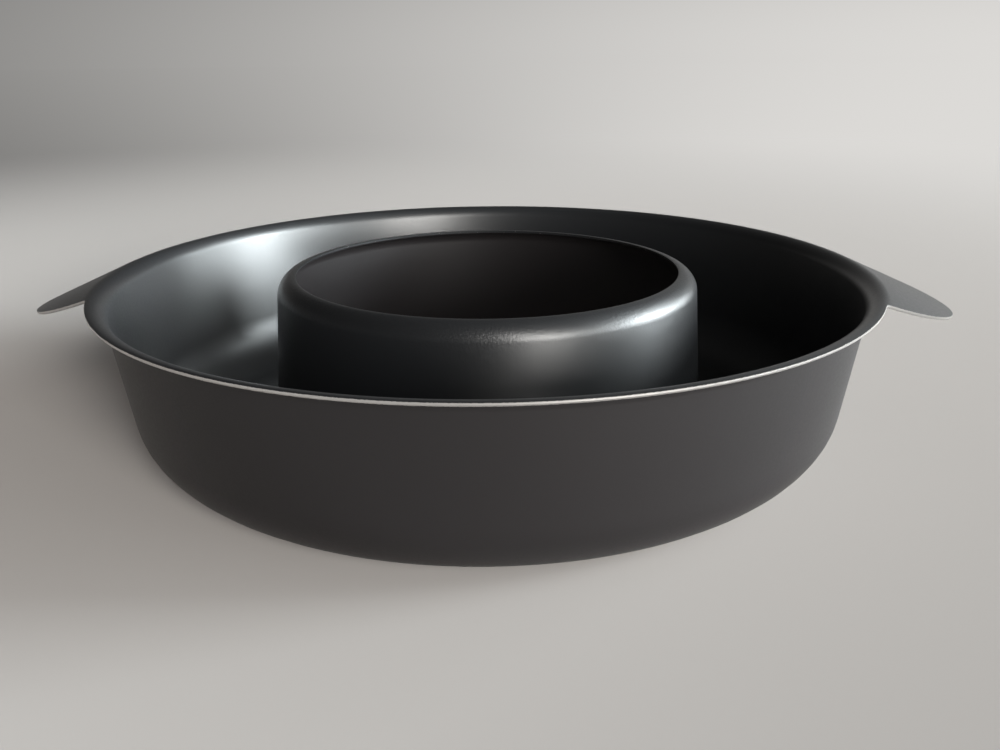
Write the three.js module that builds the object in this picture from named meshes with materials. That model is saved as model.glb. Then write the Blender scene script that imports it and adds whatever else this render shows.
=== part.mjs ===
// A ring mould pressed from one disc of coated aluminium sheet, with an ear on each side to lift it by.
// Millimetres, degrees where a name says so, +Z up. The origin is the middle of the base, the ears lie along X.
import * as THREE from 'three';

// Pan: radius to the cut edge between the ears, and height to the crest of the rim
const RIM_RADIUS = 135;
const RIM_HEIGHT = 57.7;
const WALL_DRAFT_DEGREES = 7.5;
const BASE_CORNER_RADIUS = 20.8;
const BASE_FLAT_WIDTH = 12.6;

// Rim: bent outwards and a little past level where the sheet is cut
const RIM_BEND_RADIUS = 5;
const RIM_PAST_LEVEL_DEGREES = 12;

// Chimney: the open cone in the middle, its shoulder bent in over the hole
const CHIMNEY_HEIGHT = 57.6;
const CHIMNEY_DRAFT_DEGREES = 4.5;
const CHIMNEY_FOOT_RADIUS = 13;
const SHOULDER_BEND_RADIUS = 6.2;
const SHOULDER_PAST_LEVEL_DEGREES = 2;

// Ears: round lobes of the rim that slope down, each with a small fillet where it leaves the rim
const EAR_LENGTH = 28.5;
const EAR_RADIUS = 52.7;
const EAR_DROOP_DEGREES = 23.8;
const EAR_NOTCH_RADIUS = 3;

// Sheet and its two coats
const SHEET_THICKNESS = 0.9;
const LINING_THICKNESS = 0.05;
const LACQUER_THICKNESS = 0.04;

// Facets of each bend of the profile, and of a quarter of the outline
const SHOULDER_FACETS = 4;
const FOOT_FACETS = 3;
const CORNER_FACETS = 4;
const RIM_FACETS = 3;
const RUN_OUT_SHARES = [0.2, 1];
const EAR_FACETS = 6;
const NOTCH_FACETS = 1;
const RIM_ARC_FACETS = 7;

const COLOURS = {
  aluminium: 0xc9c5c0,
  lining: 0x26282a,
  lacquer: 0x2d2929,
};

const radians = THREE.MathUtils.degToRad;
const RIGHT_ANGLE = Math.PI / 2;

// The profile is the inside face of the bare sheet, in (radius, height), followed from the hole out to the rim.
// A heading is the angle of that run above level, and the inside normal stands on its left.
const wallHeading = RIGHT_ANGLE - radians(WALL_DRAFT_DEGREES);
const chimneyHeading = radians(CHIMNEY_DRAFT_DEGREES) - RIGHT_ANGLE;
const earDroop = radians(EAR_DROOP_DEGREES);
const baseHeight = SHEET_THICKNESS + LACQUER_THICKNESS;

function insideNormal(heading) {
  return new THREE.Vector2(-Math.sin(heading), Math.cos(heading));
}

// A bend has a positive bulge where the inside face is crowned, and a negative one where it is hollow
function bend(radius, height, bulge) {
  return { centre: new THREE.Vector2(radius, height), bulge };
}

function bendPoint({ centre, bulge }, heading) {
  const normal = insideNormal(heading);
  return { at: centre.clone().addScaledVector(normal, bulge), normal };
}

// A bend of known height, placed so that a straight run at the heading is tangent to it and to the known bend
function bendAlong(known, heading, height, bulge) {
  const start = bendPoint(known, heading).at;
  const normal = insideNormal(heading);
  const rise = height + bulge * normal.y - start.y;
  return bend(start.x + rise / Math.tan(heading) - bulge * normal.x, height, bulge);
}

// The four bends, from the rim inwards
const rimBend = bend(
  RIM_RADIUS - RIM_BEND_RADIUS * Math.sin(radians(RIM_PAST_LEVEL_DEGREES)),
  RIM_HEIGHT - LINING_THICKNESS - RIM_BEND_RADIUS,
  RIM_BEND_RADIUS,
);
const baseCorner = bendAlong(rimBend, wallHeading, baseHeight + BASE_CORNER_RADIUS, -BASE_CORNER_RADIUS);
const chimneyFoot = bend(
  baseCorner.centre.x - BASE_FLAT_WIDTH,
  baseHeight + CHIMNEY_FOOT_RADIUS,
  -CHIMNEY_FOOT_RADIUS,
);
const shoulder = bendAlong(
  chimneyFoot,
  chimneyHeading,
  CHIMNEY_HEIGHT - LINING_THICKNESS - SHOULDER_BEND_RADIUS,
  SHOULDER_BEND_RADIUS,
);

function bendPoints(bent, from, to, facets) {
  return Array.from({ length: facets + 1 }, (_, step) =>
    bendPoint(bent, THREE.MathUtils.lerp(from, to, step / facets)));
}

// From the hole to the crest of the rim the section is the same all round
const roundProfile = [
  ...bendPoints(shoulder, radians(SHOULDER_PAST_LEVEL_DEGREES), chimneyHeading, SHOULDER_FACETS),
  ...bendPoints(chimneyFoot, chimneyHeading, 0, FOOT_FACETS),
  ...bendPoints(baseCorner, 0, wallHeading, CORNER_FACETS),
  ...bendPoints(rimBend, wallHeading, 0, RIM_FACETS),
];

// Past the crest the sheet bends on as far as the droop of the ears, then runs straight to where it is cut
function runOut(reach) {
  const span = reach - rimBend.centre.x;
  const bentSpan = RIM_BEND_RADIUS * Math.sin(earDroop);
  const turn = span < bentSpan ? Math.asin(span / RIM_BEND_RADIUS) : earDroop;
  const bentLength = RIM_BEND_RADIUS * turn;
  const straightLength = Math.max(0, span - bentSpan) / Math.cos(earDroop);
  return RUN_OUT_SHARES.map((share) => {
    const length = share * (bentLength + straightLength);
    const heading = -Math.min(length, bentLength) / RIM_BEND_RADIUS;
    const { at, normal } = bendPoint(rimBend, heading);
    const ahead = new THREE.Vector2(Math.cos(heading), Math.sin(heading));
    return { at: at.addScaledVector(ahead, Math.max(0, length - bentLength)), normal };
  });
}

// Outline seen from above: an ear's arc, the hollow fillet of its notch, then the round rim
const earCentre = RIM_RADIUS + EAR_LENGTH - EAR_RADIUS;
const notchDistance = RIM_RADIUS + EAR_NOTCH_RADIUS;
const notchAzimuth = Math.acos(
  (notchDistance ** 2 + earCentre ** 2 - (EAR_RADIUS + EAR_NOTCH_RADIUS) ** 2) / (2 * notchDistance * earCentre),
);
const notchCentre = new THREE.Vector2(notchDistance, 0).rotateAround(new THREE.Vector2(), notchAzimuth);
const earSweep = Math.atan2(notchCentre.y, notchCentre.x - earCentre);

function arcPoints(centre, radius, from, to, facets) {
  return Array.from({ length: facets + 1 }, (_, step) => {
    const angle = THREE.MathUtils.lerp(from, to, step / facets);
    return new THREE.Vector2(Math.cos(angle), Math.sin(angle)).multiplyScalar(radius).add(centre);
  });
}

const quarterPoints = [
  ...arcPoints(new THREE.Vector2(earCentre, 0), EAR_RADIUS, 0, earSweep, EAR_FACETS),
  ...arcPoints(notchCentre, EAR_NOTCH_RADIUS, earSweep - Math.PI, notchAzimuth - Math.PI, NOTCH_FACETS).slice(1),
  ...arcPoints(new THREE.Vector2(), RIM_RADIUS, notchAzimuth, RIGHT_ANGLE, RIM_ARC_FACETS).slice(1),
];
const quarter = quarterPoints.map((point) => ({ azimuth: Math.atan2(point.y, point.x), reach: point.length() }));

function mirrored(stations, turnedAzimuth) {
  return stations.toReversed().map(({ azimuth, reach }) => ({ azimuth: turnedAzimuth(azimuth), reach }));
}

const half = [...quarter, ...mirrored(quarter.slice(0, -1), (azimuth) => Math.PI - azimuth)];
const outline = [...half, ...mirrored(half.slice(1, -1), (azimuth) => -azimuth)];

// One face of the sheet or of a coat: every station's section, moved along the inside normal
function faceVertices(offset) {
  return outline.flatMap(({ azimuth, reach }) =>
    [...roundProfile, ...runOut(reach)].flatMap(({ at, normal }) => {
      const point = at.clone().addScaledVector(normal, offset);
      return [point.x * Math.cos(azimuth), point.x * Math.sin(azimuth), point.y];
    }));
}

// A layer is closed by its two faces, the ring at the hole and the cut edge round the rim and ears
function layerGeometry(innerOffset, outerOffset) {
  const rows = roundProfile.length + RUN_OUT_SHARES.length;
  const stations = outline.length;
  const inner = (row, station) => (station % stations) * rows + row;
  const outer = (row, station) => inner(row, station) + stations * rows;
  const triangles = [];
  const quad = (a, b, c, d) => triangles.push(a, b, c, a, c, d);
  for (let station = 0; station < stations; station += 1) {
    const next = station + 1;
    for (let row = 0; row < rows - 1; row += 1) {
      quad(inner(row, station), inner(row + 1, station), inner(row + 1, next), inner(row, next));
      triangles.push(outer(row, station), outer(row + 1, next), outer(row + 1, station));
      triangles.push(outer(row, station), outer(row, next), outer(row + 1, next));
    }
    quad(inner(0, station), inner(0, next), outer(0, next), outer(0, station));
    const cut = rows - 1;
    quad(inner(cut, station), outer(cut, station), outer(cut, next), inner(cut, next));
  }
  const geometry = new THREE.BufferGeometry();
  const vertices = [...faceVertices(innerOffset), ...faceVertices(outerOffset)];
  geometry.setAttribute('position', new THREE.Float32BufferAttribute(vertices, 3));
  geometry.setIndex(triangles);
  geometry.computeVertexNormals();
  return geometry;
}

function layer(name, innerOffset, outerOffset, finish) {
  const mesh = new THREE.Mesh(layerGeometry(innerOffset, outerOffset), new THREE.MeshStandardMaterial(finish));
  mesh.name = name;
  return mesh;
}

const ringMould = new THREE.Group();
ringMould.name = 'ring_mould';
ringMould.add(
  layer('nonstick_lining', LINING_THICKNESS, 0, { color: COLOURS.lining, roughness: 0.38, metalness: 0 }),
  layer('pressed_pan', 0, -SHEET_THICKNESS, { color: COLOURS.aluminium, roughness: 0.35, metalness: 1 }),
  layer('outside_lacquer', -SHEET_THICKNESS, -baseHeight, { color: COLOURS.lacquer, roughness: 0.45, metalness: 0 }),
);

export default ringMould;
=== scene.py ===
"""Looks of a ring mould pressed from coated aluminium sheet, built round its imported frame.

Lengths are metres in the frame's own axes: +Z up, the ears along X, the base on the origin.
"""

from __future__ import annotations

import logging
import math
from dataclasses import dataclass, field
from enum import Enum
from typing import Any

import bpy
from mathutils import Matrix, Vector

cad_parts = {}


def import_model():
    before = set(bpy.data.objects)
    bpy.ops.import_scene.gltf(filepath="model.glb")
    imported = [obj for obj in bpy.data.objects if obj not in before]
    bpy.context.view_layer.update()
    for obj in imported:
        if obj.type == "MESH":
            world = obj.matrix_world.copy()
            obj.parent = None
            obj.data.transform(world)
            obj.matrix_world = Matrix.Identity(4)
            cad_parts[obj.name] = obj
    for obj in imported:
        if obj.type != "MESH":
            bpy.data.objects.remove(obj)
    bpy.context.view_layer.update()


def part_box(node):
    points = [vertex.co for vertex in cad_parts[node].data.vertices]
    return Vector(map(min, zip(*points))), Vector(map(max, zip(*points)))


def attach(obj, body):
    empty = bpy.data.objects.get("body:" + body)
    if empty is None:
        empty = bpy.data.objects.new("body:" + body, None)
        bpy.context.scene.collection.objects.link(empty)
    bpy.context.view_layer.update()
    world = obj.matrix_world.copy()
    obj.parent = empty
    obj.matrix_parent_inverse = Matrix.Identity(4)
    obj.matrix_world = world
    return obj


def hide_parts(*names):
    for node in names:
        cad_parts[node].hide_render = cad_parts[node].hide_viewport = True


LOG = logging.getLogger("ring_mould")
MM = 0.001
RIGHT_ANGLE = math.pi / 2
# Edges that turn by more than this stay crisp
SHARP_ANGLE = math.radians(35)
# Vertex attribute with the distance from the nearest edge of the sheet
EDGE_ATTRIBUTE = "cut_edge_distance"
# Most values of a noise texture lie between these two
NOISE_LOW = 0.3
NOISE_HIGH = 0.7
# Part of a turn between the way round the mould and the way along its section
QUARTER_TURN = 0.25


class Layer(Enum):
    """The mould's layers, each with its CAD node as value."""

    LINING = "nonstick_lining"
    SHEET = "pressed_pan"
    LACQUER = "outside_lacquer"


class LampTone(Enum):
    """The lamps' tints, as sRGB colours."""

    COOL = "#f1fafd"
    NEUTRAL = "#f8fcfb"
    WARM = "#fffdf9"


def linear(hex_colour: str) -> tuple[float, float, float, float]:
    """Turns an sRGB hex colour into linear RGBA.

    Args:
        hex_colour: Colour such as "#1c1d1f".

    Returns:
        Linear red, green and blue, with an alpha of 1.
    """
    shares = [int(hex_colour[start : start + 2], 16) / 255 for start in (1, 3, 5)]
    # The numbers are those of the sRGB standard's own curve
    red, green, blue = (
        share / 12.92 if share <= 0.04045 else ((share + 0.055) / 1.055) ** 2.4 for share in shares
    )
    return red, green, blue, 1.0


def add_node(
    tree: bpy.types.NodeTree,
    kind: str,
    settings: dict[str, Any] | None = None,
    values: dict[str | int, Any] | None = None,
    links: dict[str | int, bpy.types.NodeSocket] | None = None,
) -> bpy.types.Node:
    """Adds a shader node with its settings, socket values and incoming links.

    Args:
        tree: Node tree that gets the node.
        kind: Blender's name of the node type.
        settings: Properties of the node.
        values: Constant values, by input name or number.
        links: Output sockets that feed inputs, by input name or number.

    Returns:
        The new node.
    """
    node = tree.nodes.new(kind)
    for name, value in (settings or {}).items():
        setattr(node, name, value)
    for socket, value in (values or {}).items():
        node.inputs[socket].default_value = value
    for socket, source in (links or {}).items():
        tree.links.new(source, node.inputs[socket])
    return node


def empty_material(name: str) -> bpy.types.Material:
    """Makes a material that has no nodes yet.

    Args:
        name: The real material and how its surface was made.

    Returns:
        The material.
    """
    material = bpy.data.materials.new(name)
    material.use_nodes = True
    material.node_tree.nodes.clear()
    return material


def level_place(tree: bpy.types.NodeTree, place: bpy.types.NodeSocket) -> bpy.types.NodeSocket:
    """Takes the height out of coordinates, which leaves the way out from the mould's axis.

    Args:
        tree: The material's node tree.
        place: Coordinates on the piece.

    Returns:
        A socket with the level vector from the axis.
    """
    level = add_node(
        tree,
        "ShaderNodeVectorMath",
        settings={"operation": "MULTIPLY"},
        values={1: (1.0, 1.0, 0.0)},
        links={0: place},
    )
    return level.outputs[0]


@dataclass(frozen=True)
class SectionPoint:
    """A point of the sheet's inside face in section, as (radius, height), with the normal on the inside."""

    at: Vector
    normal: Vector


@dataclass(frozen=True)
class Bend:
    """A round bend of the sheet in section.

    A positive bulge is crowned on the inside face, a negative one is hollow. A heading is the angle above
    level, in radians, at which the face runs from the hole towards the rim.
    """

    centre: Vector
    bulge: float

    def point(self, heading: float) -> SectionPoint:
        """The point where the inside face runs at a heading."""
        normal = Vector((-math.sin(heading), math.cos(heading)))
        return SectionPoint(self.centre + self.bulge * normal, normal)

    def points(self, start: float, end: float, facets: int) -> list[SectionPoint]:
        """Evenly spaced points of the bend from one heading to another."""
        return [self.point(start + (end - start) * step / facets) for step in range(facets + 1)]

    def next_along(self, heading: float, height: float, bulge: float) -> Bend:
        """The bend of a given height that a straight run at the heading joins to this one.

        Args:
            heading: Heading of the straight run.
            height: Height of the other bend's centre.
            bulge: Bulge of the other bend.

        Returns:
            The other bend.
        """
        start = self.point(heading)
        rise = height + bulge * start.normal.y - start.at.y
        radius = start.at.x + rise / math.tan(heading) - bulge * start.normal.x
        return Bend(Vector((radius, height)), bulge)


@dataclass(frozen=True)
class Station:
    """A direction round the mould and how far out the sheet reaches there."""

    azimuth: float
    reach: float


@dataclass
class MouldSheet:
    """The pressed sheet's section and outline, with facets fine enough to look smooth."""

    # Overall sizes, from the frame
    rim_radius: float
    ear_reach: float
    rim_height: float
    # Sheet and its two coats
    sheet_thickness: float = 0.9 * MM
    lining_thickness: float = 0.05 * MM
    lacquer_thickness: float = 0.04 * MM
    # Outer wall and base, on the sheet's inside face
    wall_draft: float = math.radians(7.5)
    base_corner: float = 20.8 * MM
    base_flat: float = 12.6 * MM
    # Rim, bent outwards and a little past level
    rim_bend: float = 5 * MM
    rim_past_level: float = math.radians(12)
    # Chimney, with a shoulder that bends in over the hole
    chimney_height: float = 57.6 * MM
    chimney_draft: float = math.radians(4.5)
    chimney_foot: float = 13 * MM
    shoulder_bend: float = 6.2 * MM
    shoulder_past_level: float = math.radians(2)
    # Ears, with a hollow fillet where each leaves the rim
    ear_radius: float = 52.7 * MM
    ear_droop: float = math.radians(23.8)
    ear_notch: float = 3 * MM
    # Facets of each bend, of the sheet past the rim's crest, and of a quarter of the outline
    shoulder_facets: int = 14
    foot_facets: int = 9
    corner_facets: int = 12
    rim_facets: int = 10
    run_out_facets: int = 8
    ear_facets: int = 22
    notch_facets: int = 6
    rim_arc_facets: int = 46
    # Worked out from the sizes
    section: list[SectionPoint] = field(init=False)
    outline: list[Station] = field(init=False)
    rim: Bend = field(init=False)

    @classmethod
    def from_frame(cls) -> MouldSheet:
        """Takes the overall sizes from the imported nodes.

        Returns:
            The sheet in the frame's size.
        """
        _, sheet_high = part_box(Layer.SHEET.value)
        _, lining_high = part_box(Layer.LINING.value)
        return cls(rim_radius=sheet_high.y, ear_reach=sheet_high.x, rim_height=lining_high.z)

    def __post_init__(self) -> None:
        """Works out the bends, the round section and the outline."""
        base = self.sheet_thickness + self.lacquer_thickness
        wall = RIGHT_ANGLE - self.wall_draft
        chimney = self.chimney_draft - RIGHT_ANGLE
        rim_centre_radius = self.rim_radius - self.rim_bend * math.sin(self.rim_past_level)
        rim_centre_height = self.rim_height - self.lining_thickness - self.rim_bend
        self.rim = Bend(Vector((rim_centre_radius, rim_centre_height)), self.rim_bend)
        corner = self.rim.next_along(wall, base + self.base_corner, -self.base_corner)
        foot_centre = Vector((corner.centre.x - self.base_flat, base + self.chimney_foot))
        foot = Bend(foot_centre, -self.chimney_foot)
        shoulder_height = self.chimney_height - self.lining_thickness - self.shoulder_bend
        shoulder = foot.next_along(chimney, shoulder_height, self.shoulder_bend)
        self.section = [
            *shoulder.points(self.shoulder_past_level, chimney, self.shoulder_facets),
            *foot.points(chimney, 0, self.foot_facets),
            *corner.points(0, wall, self.corner_facets),
            *self.rim.points(wall, 0, self.rim_facets),
        ]
        self.outline = self._outline()

    def _outline(self) -> list[Station]:
        """The outline seen from above, anticlockwise from the right ear's tip.

        Returns:
            Stations along the ears' arcs, the notches' fillets and the round rim.
        """
        ear_centre = Vector((self.ear_reach - self.ear_radius, 0))
        notch_distance = self.rim_radius + self.ear_notch
        ear_distance = self.ear_radius + self.ear_notch
        # Law of cosines between the mould's axis, the ear's centre and the fillet's centre
        notch_azimuth = math.acos(
            (notch_distance**2 + ear_centre.x**2 - ear_distance**2) / (2 * notch_distance * ear_centre.x)
        )
        notch_centre = Vector((math.cos(notch_azimuth), math.sin(notch_azimuth))) * notch_distance
        sweep = math.atan2(notch_centre.y, notch_centre.x - ear_centre.x)
        arcs = [
            (ear_centre, self.ear_radius, 0.0, sweep, self.ear_facets),
            (notch_centre, self.ear_notch, sweep - math.pi, notch_azimuth - math.pi, self.notch_facets),
            (Vector((0, 0)), self.rim_radius, notch_azimuth, RIGHT_ANGLE, self.rim_arc_facets),
        ]
        points = [Vector((self.ear_reach, 0))]
        for centre, radius, start, end, facets in arcs:
            for step in range(1, facets + 1):
                angle = start + (end - start) * step / facets
                points.append(centre + radius * Vector((math.cos(angle), math.sin(angle))))
        quarter = [Station(math.atan2(point.y, point.x), point.length) for point in points]
        back_left = [Station(math.pi - station.azimuth, station.reach) for station in reversed(quarter[:-1])]
        half = quarter + back_left
        return half + [Station(-station.azimuth, station.reach) for station in reversed(half[1:-1])]

    def run_out(self, reach: float) -> list[SectionPoint]:
        """The section past the rim's crest: it bends on to the ears' droop, then runs straight to the cut.

        Args:
            reach: Radius of the cut edge.

        Returns:
            Points from just past the crest to the cut edge.
        """
        span = reach - self.rim.centre.x
        bent_span = self.rim_bend * math.sin(self.ear_droop)
        turn = math.asin(span / self.rim_bend) if span < bent_span else self.ear_droop
        bent = self.rim_bend * turn
        length = bent + max(0.0, span - bent_span) / math.cos(self.ear_droop)
        half = self.run_out_facets // 2
        first = min(bent, length / 2)
        runs = [first * step / half for step in range(1, half + 1)]
        runs += [first + (length - first) * step / half for step in range(1, half + 1)]
        points = []
        for run in runs:
            heading = -min(run, bent) / self.rim_bend
            point = self.rim.point(heading)
            ahead = Vector((math.cos(heading), math.sin(heading)))
            points.append(SectionPoint(point.at + ahead * max(0.0, run - bent), point.normal))
        return points

    def rows_at(self, station: Station) -> list[SectionPoint]:
        """The whole section at a station, from the hole's edge to the cut edge."""
        return self.section + self.run_out(station.reach)


@dataclass(frozen=True)
class LoopPoint:
    """A point of a layer's closed section, measured from a row of the sheet's inside face.

    The offset goes along the inside normal. The swell goes along the sheet, past its end.
    """

    row: int
    offset: float
    swell: float = 0.0

    def place(self, station: Station, rows: list[SectionPoint]) -> Vector:
        """Where the point lies at a station.

        Args:
            station: Direction round the mould.
            rows: The station's section.

        Returns:
            The vertex in the frame.
        """
        point = rows[self.row]
        # Row 0 is the hole's edge, where past the end is inwards
        outward = 1.0 if self.row else -1.0
        along = Vector((point.normal.y, -point.normal.x)) * outward
        at = point.at + self.offset * point.normal + self.swell * along
        return Vector((at.x * math.cos(station.azimuth), at.x * math.sin(station.azimuth), at.y))


@dataclass
class SheetLayer:
    """One layer of the sheet as a closed mesh between two offsets along the inside normal."""

    layer: Layer
    name: str
    slot: str
    inner: float
    outer: float
    # How far the cut edge swells, in how many facets, and how far the swell leans to the outer face
    edge_swell: float = 0.0
    edge_facets: int = 1
    edge_skew: float = 1.6
    # How far the layer wraps down over the hole's edge, and how far that edge draws back on its way down
    hole_wrap: float = 0.0
    hole_flare: float = 0.0
    # Added to distances from the hole's edge, because the coat chips less there
    hole_margin: float = 0.15 * MM

    def build(self, sheet: MouldSheet, material: bpy.types.Material) -> bpy.types.Object:
        """Builds the mesh, dresses it and seats it on the frame.

        Args:
            sheet: Section and outline of the pressing.
            material: Finish of the layer.

        Returns:
            The finished piece.
        """
        sections = [(station, sheet.rows_at(station)) for station in sheet.outline]
        loop = self._loop(len(sections[0][1]))
        vertices = [point.place(station, rows) for station, rows in sections for point in loop]
        mesh = bpy.data.meshes.new(self.name)
        mesh.from_pydata(vertices, [], self._faces(len(sections), len(loop)))
        mesh.validate()
        self._mark_cut_edge(mesh, [rows for _, rows in sections], loop)
        mesh.polygons.foreach_set("use_smooth", [True] * len(mesh.polygons))
        mesh.set_sharp_from_angle(angle=SHARP_ANGLE)
        mesh.materials.append(material)
        piece = bpy.data.objects.new(self.name, mesh)
        bpy.context.scene.collection.objects.link(piece)
        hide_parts(self.layer.value)
        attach(piece, "root")
        return piece

    def _loop(self, rows: int) -> list[LoopPoint]:
        """The closed section: along the inner face, round the cut edge and back along the outer face.

        A layer that wraps the hole's edge goes down over that edge and up again before it closes.

        Args:
            rows: Number of points of the sheet's section.

        Returns:
            The section's points in order.
        """
        thick = self.inner - self.outer
        cut = []
        for step in range(1, self.edge_facets):
            share = step / self.edge_facets
            swell = self.edge_swell * math.sin(math.pi * share**self.edge_skew)
            cut.append(LoopPoint(rows - 1, self.inner - thick * share, swell))
        hole = []
        if self.hole_wrap:
            pierced = [(0.0, self.hole_flare), (-self.hole_wrap, 0.0)]
            hole = [LoopPoint(0, offset, swell) for offset, swell in pierced]
            hole += [LoopPoint(0, offset, swell + thick) for offset, swell in reversed(pierced)]
        inside = [LoopPoint(row, self.inner) for row in range(rows)]
        outside = [LoopPoint(row, self.outer) for row in reversed(range(rows))]
        return inside + cut + outside + hole

    @staticmethod
    def _faces(stations: int, points: int) -> list[tuple[int, int, int, int]]:
        """Quads between neighbouring stations, facing out.

        Args:
            stations: Number of stations.
            points: Number of points of each station's closed section.

        Returns:
            The four vertices of each quad.
        """
        faces = []
        for station in range(stations):
            here = station * points
            there = (station + 1) % stations * points
            for step in range(points):
                after = (step + 1) % points
                faces.append((here + step, here + after, there + after, there + step))
        return faces

    def _mark_cut_edge(
        self, mesh: bpy.types.Mesh, sections: list[list[SectionPoint]], loop: list[LoopPoint]
    ) -> None:
        """Stores each vertex's distance from the nearest edge of the sheet, where a coat chips.

        Args:
            mesh: The layer's mesh.
            sections: The section at every station.
            loop: The closed section that the vertices follow.
        """
        distances = []
        for rows in sections:
            steps = [(after.at - here.at).length for here, after in zip(rows, rows[1:])]
            runs = [sum(steps[:row]) for row in range(len(rows))]
            nearest = [min(run + self.hole_margin, runs[-1] - run) for run in runs]
            distances += [nearest[point.row] for point in loop]
        attribute = mesh.attributes.new(EDGE_ATTRIBUTE, "FLOAT", "POINT")
        attribute.data.foreach_set("value", distances)


@dataclass(frozen=True)
class SectionLines:
    """Fine lines that a tool leaves along the section, spaced round the mould.

    The real ones are a few hundredths of a millimetre apart. That is too fine to show, so they are drawn
    coarser.
    """

    spacing_mm: float
    height_mm: float
    # Octaves of the noise that draws them, and how strong its finer octaves are
    octaves: float
    raggedness: float = 0.5

    def pattern(
        self, tree: bpy.types.NodeTree, place: bpy.types.NodeSocket, rim_radius: float
    ) -> bpy.types.NodeSocket:
        """Noise that changes only round the mould.

        Args:
            tree: The material's node tree.
            place: Coordinates on the piece.
            rim_radius: Radius that the spacing is measured at.

        Returns:
            A socket with the lines' height, from 0 to 1.
        """
        outward = add_node(
            tree,
            "ShaderNodeVectorMath",
            settings={"operation": "NORMALIZE"},
            links={0: level_place(tree, place)},
        )
        lines = add_node(
            tree,
            "ShaderNodeTexNoise",
            values={
                "Scale": rim_radius / (self.spacing_mm * MM),
                "Detail": self.octaves,
                "Roughness": self.raggedness,
            },
            links={"Vector": outward.outputs[0]},
        )
        return lines.outputs["Fac"]

    def relief(self, tree: bpy.types.NodeTree, pattern: bpy.types.NodeSocket) -> bpy.types.NodeSocket:
        """Raises the lines.

        Args:
            tree: The material's node tree.
            pattern: The lines' height, from 0 to 1.

        Returns:
            A socket with the bumped normal.
        """
        bump = add_node(
            tree,
            "ShaderNodeBump",
            values={"Strength": 1.0, "Distance": self.height_mm * MM},
            links={"Height": pattern},
        )
        return bump.outputs["Normal"]


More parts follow.
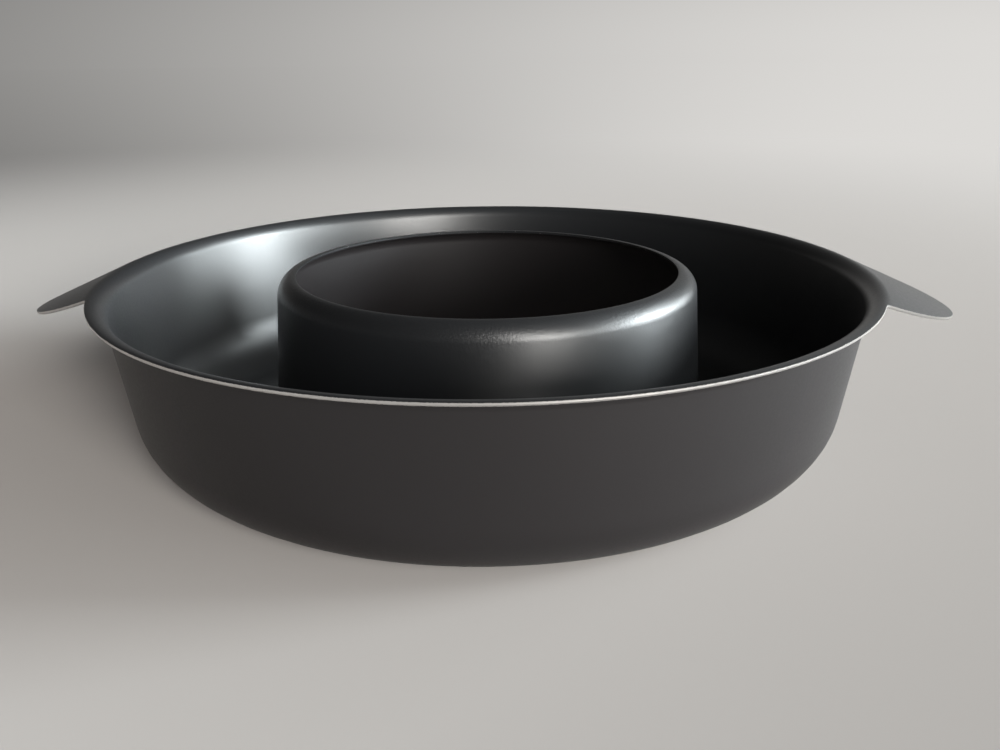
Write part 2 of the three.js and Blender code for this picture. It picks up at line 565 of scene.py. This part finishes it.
@dataclass(frozen=True)
class BakedCoat:
    """A coat that is rolled on to flat sheet and baked, then drawn with it.

    The eye sees a dark satin film, with faint lines down the walls where it was drawn, and bare metal in
    small chips along the cut edges. On the chimney's shoulder, where the sheet was stretched most, the grain
    opens up and puts specks in the highlights.
    """

    name: str
    colour: str
    roughness: float
    roughness_spread: float
    ior: float
    # Real grain is a few hundredths of a millimetre wide, too fine to show, so it is drawn coarser
    grain_mm: float
    grain_height_mm: float
    draw_lines: SectionLines
    # How far highlights are drawn out along the section, from 0 to 1
    stretch: float = 0.0
    grain_octaves: float = 2.0
    grain_raggedness: float = 0.6
    # Heights less radius between which the grain opens up, and the share of its height where it is closed
    closed_below_mm: float = -27.0
    opened_above_mm: float = -21.0
    closed_share: float = 0.03
    # Chips: their width, their reach from the edge, and the noise values at which they begin and are widest
    chip_mm: float = 0.9
    chip_reach_mm: float = 0.22
    chip_octaves: float = 3.0
    chip_begins: float = 0.45
    chip_widest: float = 0.8
    bare_colour: str = "#c8c6c3"
    bare_roughness: float = 0.35

    def material(self, rim_radius: float) -> bpy.types.Material:
        """Makes the coat's material.

        Args:
            rim_radius: Radius that the draw lines' spacing is measured at.

        Returns:
            The material.
        """
        material = empty_material(self.name)
        tree = material.node_tree
        place = add_node(tree, "ShaderNodeTexCoord").outputs["Object"]
        grain = add_node(
            tree,
            "ShaderNodeTexNoise",
            values={
                "Scale": 1 / (self.grain_mm * MM),
                "Detail": self.grain_octaves,
                "Roughness": self.grain_raggedness,
            },
            links={"Vector": place},
        ).outputs["Fac"]
        draw_lines = self.draw_lines.relief(tree, self.draw_lines.pattern(tree, place, rim_radius))
        bump = add_node(
            tree,
            "ShaderNodeBump",
            values={"Distance": self.grain_height_mm * MM},
            links={"Strength": self._opening(tree, place), "Height": grain, "Normal": draw_lines},
        )
        satin = add_node(
            tree,
            "ShaderNodeMapRange",
            values={
                "From Min": NOISE_LOW,
                "From Max": NOISE_HIGH,
                "To Min": self.roughness - self.roughness_spread,
                "To Max": self.roughness + self.roughness_spread,
            },
            links={"Value": grain},
        )
        chips = self._chips(tree, place)
        colour = add_node(
            tree,
            "ShaderNodeMix",
            settings={"data_type": "RGBA"},
            values={"A": linear(self.colour), "B": linear(self.bare_colour)},
            links={"Factor": chips},
        )
        roughness = add_node(
            tree,
            "ShaderNodeMix",
            settings={"data_type": "FLOAT"},
            values={"B": self.bare_roughness},
            links={"Factor": chips, "A": satin.outputs["Result"]},
        )
        around = add_node(tree, "ShaderNodeTangent", settings={"direction_type": "RADIAL", "axis": "Z"})
        shader = add_node(
            tree,
            "ShaderNodeBsdfPrincipled",
            values={"IOR": self.ior, "Anisotropic": self.stretch, "Anisotropic Rotation": QUARTER_TURN},
            links={
                "Base Color": colour.outputs["Result"],
                "Metallic": chips,
                "Roughness": roughness.outputs["Result"],
                "Normal": bump.outputs["Normal"],
                "Tangent": around.outputs["Tangent"],
            },
        )
        add_node(tree, "ShaderNodeOutputMaterial", links={"Surface": shader.outputs["BSDF"]})
        return material

    def _opening(self, tree: bpy.types.NodeTree, place: bpy.types.NodeSocket) -> bpy.types.NodeSocket:
        """How far the grain is open: by height less radius, which is greatest on the chimney's shoulder.

        Args:
            tree: The material's node tree.
            place: Coordinates on the piece.

        Returns:
            A socket with the share of the grain's height.
        """
        radius = add_node(
            tree,
            "ShaderNodeVectorMath",
            settings={"operation": "LENGTH"},
            links={0: level_place(tree, place)},
        )
        height = add_node(tree, "ShaderNodeSeparateXYZ", links={0: place})
        height_less_radius = add_node(
            tree,
            "ShaderNodeMath",
            settings={"operation": "SUBTRACT"},
            links={0: height.outputs["Z"], 1: radius.outputs["Value"]},
        )
        opening = add_node(
            tree,
            "ShaderNodeMapRange",
            values={
                "From Min": self.closed_below_mm * MM,
                "From Max": self.opened_above_mm * MM,
                "To Min": self.closed_share,
                "To Max": 1.0,
            },
            links={"Value": height_less_radius.outputs[0]},
        )
        return opening.outputs["Result"]

    def _chips(self, tree: bpy.types.NodeTree, place: bpy.types.NodeSocket) -> bpy.types.NodeSocket:
        """Bare chips along the cut edges.

        Args:
            tree: The material's node tree.
            place: Coordinates on the piece.

        Returns:
            A socket that is 1 where the coat is off and 0 elsewhere.
        """
        distance = add_node(tree, "ShaderNodeAttribute", settings={"attribute_name": EDGE_ATTRIBUTE})
        ragged = add_node(
            tree,
            "ShaderNodeTexNoise",
            values={"Scale": 1 / (self.chip_mm * MM), "Detail": self.chip_octaves},
            links={"Vector": place},
        )
        limit = add_node(
            tree,
            "ShaderNodeMapRange",
            values={
                "From Min": self.chip_begins,
                "From Max": self.chip_widest,
                "To Min": 0.0,
                "To Max": self.chip_reach_mm * MM,
            },
            links={"Value": ragged.outputs["Fac"]},
        )
        chipped = add_node(
            tree,
            "ShaderNodeMath",
            settings={"operation": "LESS_THAN"},
            links={0: distance.outputs["Fac"], 1: limit.outputs["Result"]},
        )
        return chipped.outputs[0]


@dataclass(frozen=True)
class ShearedAluminium:
    """Bare aluminium sheet where a die cut it. The eye sees a bright edge with fine lines across it."""

    name: str = "aluminium_sheet_sheared_edge"
    colour: str = "#d6d3d0"
    roughness: float = 0.34
    roughness_spread: float = 0.08
    shear_lines: SectionLines = SectionLines(spacing_mm=0.35, height_mm=0.02, octaves=2.0)

    def material(self, rim_radius: float) -> bpy.types.Material:
        """Makes the bare metal's material.

        Args:
            rim_radius: Radius that the shear lines' spacing is measured at.

        Returns:
            The material.
        """
        material = empty_material(self.name)
        tree = material.node_tree
        place = add_node(tree, "ShaderNodeTexCoord").outputs["Object"]
        lines = self.shear_lines.pattern(tree, place, rim_radius)
        satin = add_node(
            tree,
            "ShaderNodeMapRange",
            values={
                "To Min": self.roughness - self.roughness_spread,
                "To Max": self.roughness + self.roughness_spread,
            },
            links={"Value": lines},
        )
        shader = add_node(
            tree,
            "ShaderNodeBsdfPrincipled",
            values={"Base Color": linear(self.colour), "Metallic": 1.0},
            links={"Roughness": satin.outputs["Result"], "Normal": self.shear_lines.relief(tree, lines)},
        )
        add_node(tree, "ShaderNodeOutputMaterial", links={"Surface": shader.outputs["BSDF"]})
        return material


@dataclass
class RingMould:
    """The mould: the bare pressing between its two coats."""

    sheet: MouldSheet
    # Gives the eye a cool near-black with soft highlights, drawn out along the section
    lining_finish: BakedCoat = BakedCoat(
        name="nonstick_fluoropolymer_rolled_and_baked",
        colour="#1a1b1d",
        roughness=0.385,
        roughness_spread=0.035,
        ior=1.75,
        grain_mm=0.8,
        grain_height_mm=0.09,
        draw_lines=SectionLines(spacing_mm=1.6, height_mm=0.012, octaves=3.0, raggedness=0.65),
        stretch=0.5,
    )
    # Gives the eye a warmer and duller near-black with hardly any grain
    lacquer_finish: BakedCoat = BakedCoat(
        name="polyester_lacquer_rolled_and_baked",
        colour="#171415",
        roughness=0.45,
        roughness_spread=0.025,
        ior=1.5,
        grain_mm=0.8,
        grain_height_mm=0.03,
        draw_lines=SectionLines(spacing_mm=2.2, height_mm=0.01, octaves=3.0, raggedness=0.65),
    )
    # Gives the eye a bright line round the rim and the ears
    metal_finish: ShearedAluminium = ShearedAluminium()
    # The die leaves the cut edge swollen, and the hole's edge drawn back on its way down
    edge_swell: float = 0.12 * MM
    edge_facets: int = 5
    hole_flare: float = 0.25 * MM

    def layers(self) -> list[tuple[SheetLayer, bpy.types.Material]]:
        """The three layers with their finishes, from the inside out.

        Returns:
            Each layer with its material.
        """
        radius = self.sheet.rim_radius
        thick = self.sheet.sheet_thickness
        lining = SheetLayer(
            layer=Layer.LINING,
            name="inside_coat",
            slot="nonstick_coat",
            inner=self.sheet.lining_thickness,
            outer=0.0,
            hole_wrap=thick,
            hole_flare=self.hole_flare,
        )
        metal = SheetLayer(
            layer=Layer.SHEET,
            name="sheet_pressing",
            slot="bare_aluminium",
            inner=0.0,
            outer=-thick,
            edge_swell=self.edge_swell,
            edge_facets=self.edge_facets,
        )
        lacquer = SheetLayer(
            layer=Layer.LACQUER,
            name="outside_coat",
            slot="outside_coat",
            inner=-thick,
            outer=-thick - self.sheet.lacquer_thickness,
        )
        return [
            (lining, self.lining_finish.material(radius)),
            (metal, self.metal_finish.material(radius)),
            (lacquer, self.lacquer_finish.material(radius)),
        ]

    def build(self) -> None:
        """Builds and reports every layer."""
        for layer, material in self.layers():
            piece = layer.build(self.sheet, material)
            LOG.info("%s: %d faces, finish %s", piece.name, len(piece.data.polygons), material.name)


@dataclass(frozen=True)
class PhotoCamera:
    """A camera that stands where the photograph was taken from, fitted to the mould's circles.

    The distance and height are measured from the base's middle. The pitch is downwards, the yaw to the right
    and the roll anticlockwise, in radians. The turn is how far the camera stands round from straight in
    front, towards +X.
    """

    focal_px: float = 882.8
    picture_width_px: int = 1000
    sensor_mm: float = 36.0
    distance: float = 316.8 * MM
    height: float = 130.2 * MM
    pitch: float = 0.3484
    yaw: float = 0.0134
    roll: float = -0.0078
    turn: float = math.radians(3.6)
    nearest: float = 0.01
    farthest: float = 100.0

    def build(self) -> None:
        """Makes the camera and sets it as the scene's."""
        data = bpy.data.cameras.new("photo_camera")
        data.sensor_fit = "HORIZONTAL"
        data.sensor_width = self.sensor_mm
        data.lens = self.focal_px / self.picture_width_px * self.sensor_mm
        data.clip_start = self.nearest
        data.clip_end = self.farthest
        camera = bpy.data.objects.new("photo_camera", data)
        bpy.context.scene.collection.objects.link(camera)
        ahead = math.cos(self.pitch)
        forward = Vector((math.sin(self.yaw) * ahead, math.cos(self.yaw) * ahead, -math.sin(self.pitch)))
        level = forward.cross(Vector((0, 0, 1))).normalized()
        upright = level.cross(forward)
        right = math.cos(self.roll) * level + math.sin(self.roll) * upright
        up = -math.sin(self.roll) * level + math.cos(self.roll) * upright
        aim = Matrix((right, up, -forward)).transposed().to_4x4()
        turn = Matrix.Rotation(self.turn, 4, "Z")
        camera.matrix_world = turn @ Matrix.Translation((0, -self.distance, self.height)) @ aim
        bpy.context.scene.camera = camera
        LOG.info("%s: lens %.1f mm", camera.name, data.lens)


@dataclass(frozen=True)
class SoftBox:
    """A rectangular studio lamp that faces the mould.

    Its direction from the mould's middle is in degrees, its power in watts.
    """

    name: str
    azimuth: float
    elevation: float
    width: float
    height: float
    power: float
    tone: LampTone = LampTone.COOL
    distance: float = 2.2

    def build(self) -> None:
        """Makes the lamp."""
        data = bpy.data.lights.new(self.name, "AREA")
        data.shape = "RECTANGLE"
        data.size = self.width
        data.size_y = self.height
        data.energy = self.power
        data.color = linear(self.tone.value)[:3]
        lamp = bpy.data.objects.new(self.name, data)
        bpy.context.scene.collection.objects.link(lamp)
        azimuth = math.radians(self.azimuth)
        elevation = math.radians(self.elevation)
        level = math.cos(elevation)
        direction = Vector((level * math.cos(azimuth), level * math.sin(azimuth), math.sin(elevation)))
        lamp.location = direction * self.distance
        lamp.rotation_mode = "QUATERNION"
        lamp.rotation_quaternion = direction.to_track_quat("Z", "Y")
        LOG.info("%s: %.0f W at azimuth %.0f", self.name, self.power, self.azimuth)


@dataclass
class Studio:
    """A plain pale floor and surround with soft lamps, the strongest on the right, weaker ones in front."""

    floor_colour: str = "#b3aeab"
    floor_roughness: float = 0.5
    surround_colour: str = "#dcdad7"
    floor_radius: float = 12.0
    floor_segments: int = 96
    # The floor lies a little below the base, so that the two don't share a plane
    floor_drop: float = 0.05 * MM
    # Distances from the mould between which the floor fades into the surround
    fade_start: float = 0.3
    fade_end: float = 1.25
    # The surround's strength on the left, and the direction's shares along X between which it rises to full
    pale_left: float = 0.2
    pale_from: float = -1.0
    pale_to: float = 0.5
    # Share of the surround's strength that is left high up, and the elevation from which that holds
    sky_share: float = 0.15
    sky_from: float = math.radians(20)
    lamps: tuple[SoftBox, ...] = (
        SoftBox("key_right", azimuth=6.4, elevation=15, width=0.74, height=0.55, power=66),
        SoftBox("strip_right", azimuth=0.6, elevation=4.8, width=2.2, height=0.33, power=64),
        SoftBox("strip_high", azimuth=8, elevation=31, width=1.74, height=0.37, power=18),
        SoftBox("edge_back", azimuth=34, elevation=8, width=0.4, height=0.4, power=11),
        SoftBox(
            "fill_middle", azimuth=-26, elevation=10, width=1.5, height=0.72, power=22, tone=LampTone.NEUTRAL
        ),
        SoftBox(
            "fill_front", azimuth=-57, elevation=9.7, width=0.88, height=0.71, power=52, tone=LampTone.WARM
        ),
        SoftBox(
            "fill_front_high",
            azimuth=-67.4,
            elevation=29,
            width=0.67,
            height=0.48,
            power=13.2,
            tone=LampTone.WARM,
        ),
    )

    def build(self) -> None:
        """Makes the floor, the surround and the lamps."""
        self._floor()
        self._surround()
        for lamp in self.lamps:
            lamp.build()

    def _floor(self) -> None:
        """A round floor that fades into the surround far from the mould."""
        angles = [math.tau * step / self.floor_segments for step in range(self.floor_segments)]
        radius = self.floor_radius
        edge = [(radius * math.cos(angle), radius * math.sin(angle), -self.floor_drop) for angle in angles]
        mesh = bpy.data.meshes.new("studio_floor")
        mesh.from_pydata(edge, [], [tuple(range(self.floor_segments))])
        mesh.materials.append(self._floor_material())
        floor = bpy.data.objects.new("studio_floor", mesh)
        bpy.context.scene.collection.objects.link(floor)
        LOG.info("%s: radius %.0f m", floor.name, radius)

    def _floor_material(self) -> bpy.types.Material:
        """Matt paper near the mould, with a soft shadow and no gloss. Farther out it glows in the surround's
        colour for seen and mirrored rays, and is dimmer on the left: painted shade that follows the lamps'
        falloff.

        Returns:
            The material.
        """
        material = empty_material("studio_paper_matt")
        tree = material.node_tree
        place = add_node(tree, "ShaderNodeTexCoord").outputs["Object"]
        length = add_node(tree, "ShaderNodeVectorMath", settings={"operation": "LENGTH"}, links={0: place})
        far = add_node(
            tree,
            "ShaderNodeMapRange",
            settings={"interpolation_type": "SMOOTHSTEP"},
            values={"From Min": self.fade_start, "From Max": self.fade_end},
            links={"Value": length.outputs["Value"]},
        )
        # Seen or mirrored, the far floor shows the surround, and all of it lights the mould as paper
        path = add_node(tree, "ShaderNodeLightPath").outputs
        mirrored = add_node(
            tree,
            "ShaderNodeMath",
            settings={"operation": "MAXIMUM"},
            links={0: path["Is Glossy Ray"], 1: path["Is Transmission Ray"]},
        )
        looking = add_node(
            tree,
            "ShaderNodeMath",
            settings={"operation": "MAXIMUM"},
            links={0: path["Is Camera Ray"], 1: mirrored.outputs[0]},
        )
        faded = add_node(
            tree,
            "ShaderNodeMath",
            settings={"operation": "MULTIPLY"},
            links={0: far.outputs["Result"], 1: looking.outputs[0]},
        )
        paper = add_node(
            tree,
            "ShaderNodeBsdfDiffuse",
            values={"Color": linear(self.floor_colour), "Roughness": self.floor_roughness},
        )
        outward = add_node(
            tree, "ShaderNodeVectorMath", settings={"operation": "NORMALIZE"}, links={0: place}
        )
        # Painted shade: the far floor's glow is dimmer on the left, as if the lamps lit it less there
        glow = add_node(
            tree,
            "ShaderNodeEmission",
            values={"Color": linear(self.surround_colour)},
            links={"Strength": self._paleness(tree, outward.outputs[0])},
        )
        mixed = add_node(
            tree,
            "ShaderNodeMixShader",
            links={0: faded.outputs[0], 1: paper.outputs["BSDF"], 2: glow.outputs["Emission"]},
        )
        add_node(tree, "ShaderNodeOutputMaterial", links={"Surface": mixed.outputs["Shader"]})
        return material

    def _paleness(self, tree: bpy.types.NodeTree, direction: bpy.types.NodeSocket) -> bpy.types.NodeSocket:
        """How pale the surround is in a direction: it falls off towards the left, away from the lamps.

        Args:
            tree: Node tree of the floor or the world.
            direction: Unit vector away from the mould.

        Returns:
            A socket with the surround's strength.
        """
        parts = add_node(tree, "ShaderNodeSeparateXYZ", links={0: direction})
        pale = add_node(
            tree,
            "ShaderNodeMapRange",
            settings={"interpolation_type": "SMOOTHSTEP"},
            values={
                "From Min": self.pale_from,
                "From Max": self.pale_to,
                "To Min": self.pale_left,
                "To Max": 1.0,
            },
            links={"Value": parts.outputs["X"]},
        )
        return pale.outputs["Result"]

    def _surround(self) -> None:
        """A surround that is pale along the horizon, dimmer above, and dimmest on the left."""
        world = bpy.data.worlds.new("studio_surround")
        bpy.context.scene.world = world
        world.use_nodes = True
        tree = world.node_tree
        tree.nodes.clear()
        direction = add_node(tree, "ShaderNodeTexCoord").outputs["Generated"]
        parts = add_node(tree, "ShaderNodeSeparateXYZ", links={0: direction})
        above = add_node(
            tree,
            "ShaderNodeMapRange",
            settings={"interpolation_type": "SMOOTHSTEP"},
            values={
                "From Min": 0.0,
                "From Max": math.sin(self.sky_from),
                "To Min": 1.0,
                "To Max": self.sky_share,
            },
            links={"Value": parts.outputs["Z"]},
        )
        strength = add_node(
            tree,
            "ShaderNodeMath",
            settings={"operation": "MULTIPLY"},
            links={0: self._paleness(tree, direction), 1: above.outputs["Result"]},
        )
        sky = add_node(
            tree,
            "ShaderNodeBackground",
            values={"Color": linear(self.surround_colour)},
            links={"Strength": strength.outputs[0]},
        )
        add_node(tree, "ShaderNodeOutputWorld", links={"Surface": sky.outputs["Background"]})
        LOG.info("%s: pale on the right, dim on the left", world.name)


def main() -> None:
    """Builds the camera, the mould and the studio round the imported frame."""
    logging.basicConfig(level=logging.INFO, format="%(message)s")
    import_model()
    bpy.context.scene.view_settings.view_transform = "Standard"
    PhotoCamera().build()
    RingMould(MouldSheet.from_frame()).build()
    Studio().build()


if __name__ == "__main__":
    main()
